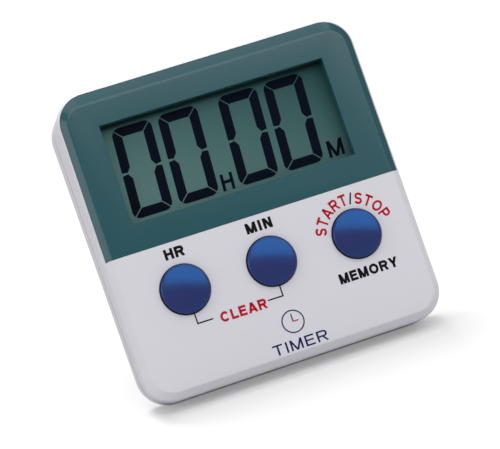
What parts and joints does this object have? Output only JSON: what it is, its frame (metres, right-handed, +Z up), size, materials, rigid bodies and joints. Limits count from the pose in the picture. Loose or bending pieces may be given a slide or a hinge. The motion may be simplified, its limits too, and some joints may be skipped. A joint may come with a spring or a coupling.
{
  "type": "digital kitchen timer",
  "caption": "Square digital countdown timer with wedge case, large segment display under a teal bezel, domed buttons, fold-out rear stand, battery door and magnets.",
  "frame": {"origin": "on the floor, under the middle of the timer as it leans on its open stand", "axes": "+Z up; the display faces -Y and a little up; +X is to the right as seen from the front; the case leans back 20 degrees about X"},
  "size_m": [0.0684, 0.0418, 0.0682],
  "materials": {
    "pale_shell": "satin pale grey moulded ABS",
    "teal_bezel": "smooth semi-gloss petrol teal",
    "display_film": "matt grey-green polarising film",
    "display_glass": "thin flat glass",
    "reflector_foil": "satin silver film",
    "black_frame": "matt black",
    "conductive_rubber": "striped silicone elastomer",
    "dome_rubber": "translucent grey silicone",
    "board_laminate": "green solder mask",
    "bare_metal": "tinned can",
    "chip_ceramic": "fired ceramic",
    "capacitor_sleeve": "dark shrink sleeve",
    "screw_steel": "zinc plated",
    "buzzer_brass": "rolled brass",
    "red_insulation": "red wire insulation",
    "black_insulation": "black wire insulation",
    "battery_label": "printed shrink label, plain blue and silver",
    "spring_steel": "nickel plated",
    "magnet_plate": "nickel plated ferrite face",
    "blue_key": "glossy royal blue"
  },
  "bodies": {
    "case": {"front_housing": "pale_shell", "display_bezel": "teal_bezel", "front_polariser": "display_film", "lcd_front_glass": "display_glass", "lcd_rear_glass": "display_glass", "lcd_reflector": "reflector_foil", "lcd_frame": "black_frame", "zebra_connector": "conductive_rubber", "hour_dome": "dome_rubber", "minute_dome": "dome_rubber", "start_stop_dome": "dome_rubber", "circuit_board": "board_laminate", "chip_potting": "black_frame", "quartz_crystal": "bare_metal", "chip_capacitor_1": "chip_ceramic", "chip_capacitor_2": "chip_ceramic", "smoothing_capacitor": "capacitor_sleeve", "case_screw_1": "screw_steel", "case_screw_2": "screw_steel", "case_screw_3": "screw_steel", "case_screw_4": "screw_steel", "board_screw_1": "screw_steel", "board_screw_2": "screw_steel", "board_screw_3": "screw_steel", "board_screw_4": "screw_steel", "piezo_plate": "buzzer_brass", "piezo_ceramic": "chip_ceramic", "buzzer_lead_red": "red_insulation", "buzzer_lead_black": "black_insulation", "battery": "battery_label", "battery_spring": "spring_steel", "positive_contact": "spring_steel", "negative_contact": "spring_steel", "battery_lead_red": "red_insulation", "battery_lead_black": "black_insulation", "rear_cover": "pale_shell", "left_magnet": "magnet_plate", "right_magnet": "magnet_plate", "stand_pin": "spring_steel"},
    "hour_button": {"hour_button": "blue_key"},
    "minute_button": {"minute_button": "blue_key"},
    "start_stop_button": {"start_stop_button": "blue_key"},
    "stand": {"stand": "pale_shell"},
    "battery_door": {"battery_door": "pale_shell"}
  },
  "joints": [
    {"name": "hour_press", "type": "slide", "parent": "case", "child": "hour_button", "axis": [0, 0.9397, -0.342], "range_m": [0, 0.001], "stiffness_N_per_m": 1200, "deforming": ["hour_dome"]},
    {"name": "minute_press", "type": "slide", "parent": "case", "child": "minute_button", "axis": [0, 0.9397, -0.342], "range_m": [0, 0.001], "stiffness_N_per_m": 1200, "deforming": ["minute_dome"]},
    {"name": "start_stop_press", "type": "slide", "parent": "case", "child": "start_stop_button", "axis": [0, 0.9397, -0.342], "range_m": [0, 0.001], "stiffness_N_per_m": 1200, "deforming": ["start_stop_dome"]},
    {"name": "stand_fold", "type": "hinge", "parent": "case", "child": "stand", "pos_m": [0, 0.00872, 0.03984], "axis": [1, 0, 0], "range_deg": [-36.2, 0]},
    {"name": "battery_door_lift", "type": "hinge", "parent": "case", "child": "battery_door", "pos_m": [0, 0.01876, 0.05604], "axis": [1, 0, 0], "range_deg": [0, 60]}
  ]
}
